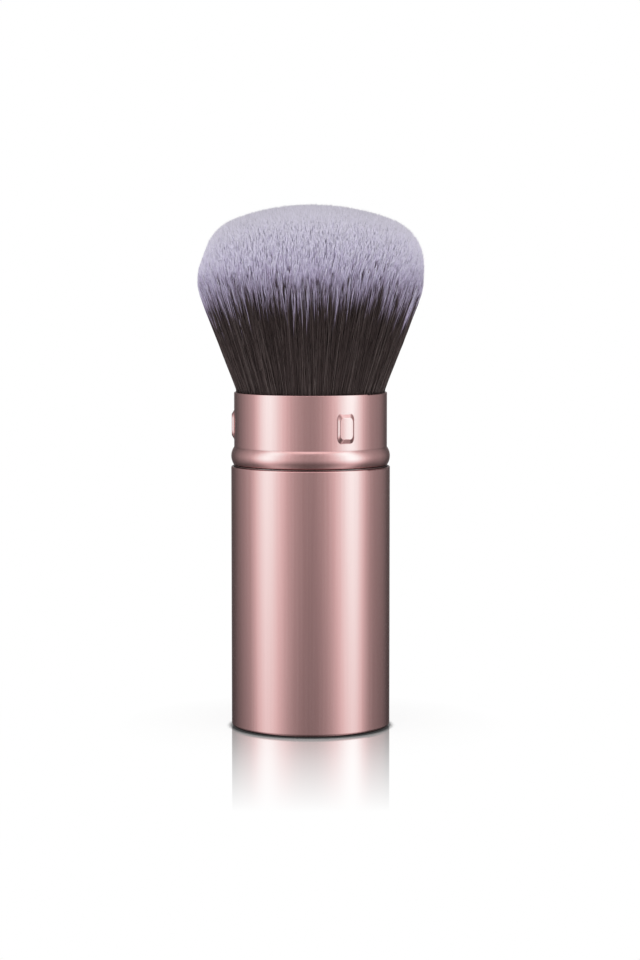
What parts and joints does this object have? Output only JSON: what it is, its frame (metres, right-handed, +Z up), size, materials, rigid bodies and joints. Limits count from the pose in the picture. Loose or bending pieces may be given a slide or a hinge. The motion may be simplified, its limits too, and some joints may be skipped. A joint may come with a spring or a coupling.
{
  "type": "retractable kabuki makeup brush",
  "caption": "Retractable makeup brush: a domed tuft on a fixed post in a tubular metal grip, with a sliding metal collar that rises to cover the bristles.",
  "frame": {"origin": "middle of the grip's underside, on the surface that the brush stands on", "axes": "+Z up along the brush towards the tuft, -Y out of the front, +X to the right"},
  "size_m": [0.0452, 0.0452, 0.105],
  "materials": {
    "rose_gold_aluminium": "rose-gold anodised, satin",
    "bristles": "synthetic filament, dark at the root and pale at the tips",
    "plain_aluminium": "bright drawn",
    "cast_resin": "clear amber",
    "moulded_abs": "fine moulded",
    "zinc_plated_steel": "zinc plated",
    "moulded_acetal": "smooth moulded",
    "ring_rubber": "matt"
  },
  "bodies": {
    "base": {"grip_cup": "rose_gold_aluminium", "base_insert": "moulded_abs", "base_weight": "zinc_plated_steel", "post_screw": "zinc_plated_steel", "brush_post": "moulded_abs", "brush_ferrule": "plain_aluminium", "root_adhesive": "cast_resin", "bristle_tuft": "bristles"},
    "collar": {"collar_sleeve": "rose_gold_aluminium", "guide_ring": "moulded_acetal", "friction_ring_lower": "ring_rubber", "friction_ring_upper": "ring_rubber"}
  },
  "joints": [
    {"name": "collar_slide", "type": "slide", "parent": "base", "child": "collar", "axis": [0, 0, 1], "range_m": [0, 0.038], "deforming": ["bristle_tuft"]}
  ]
}
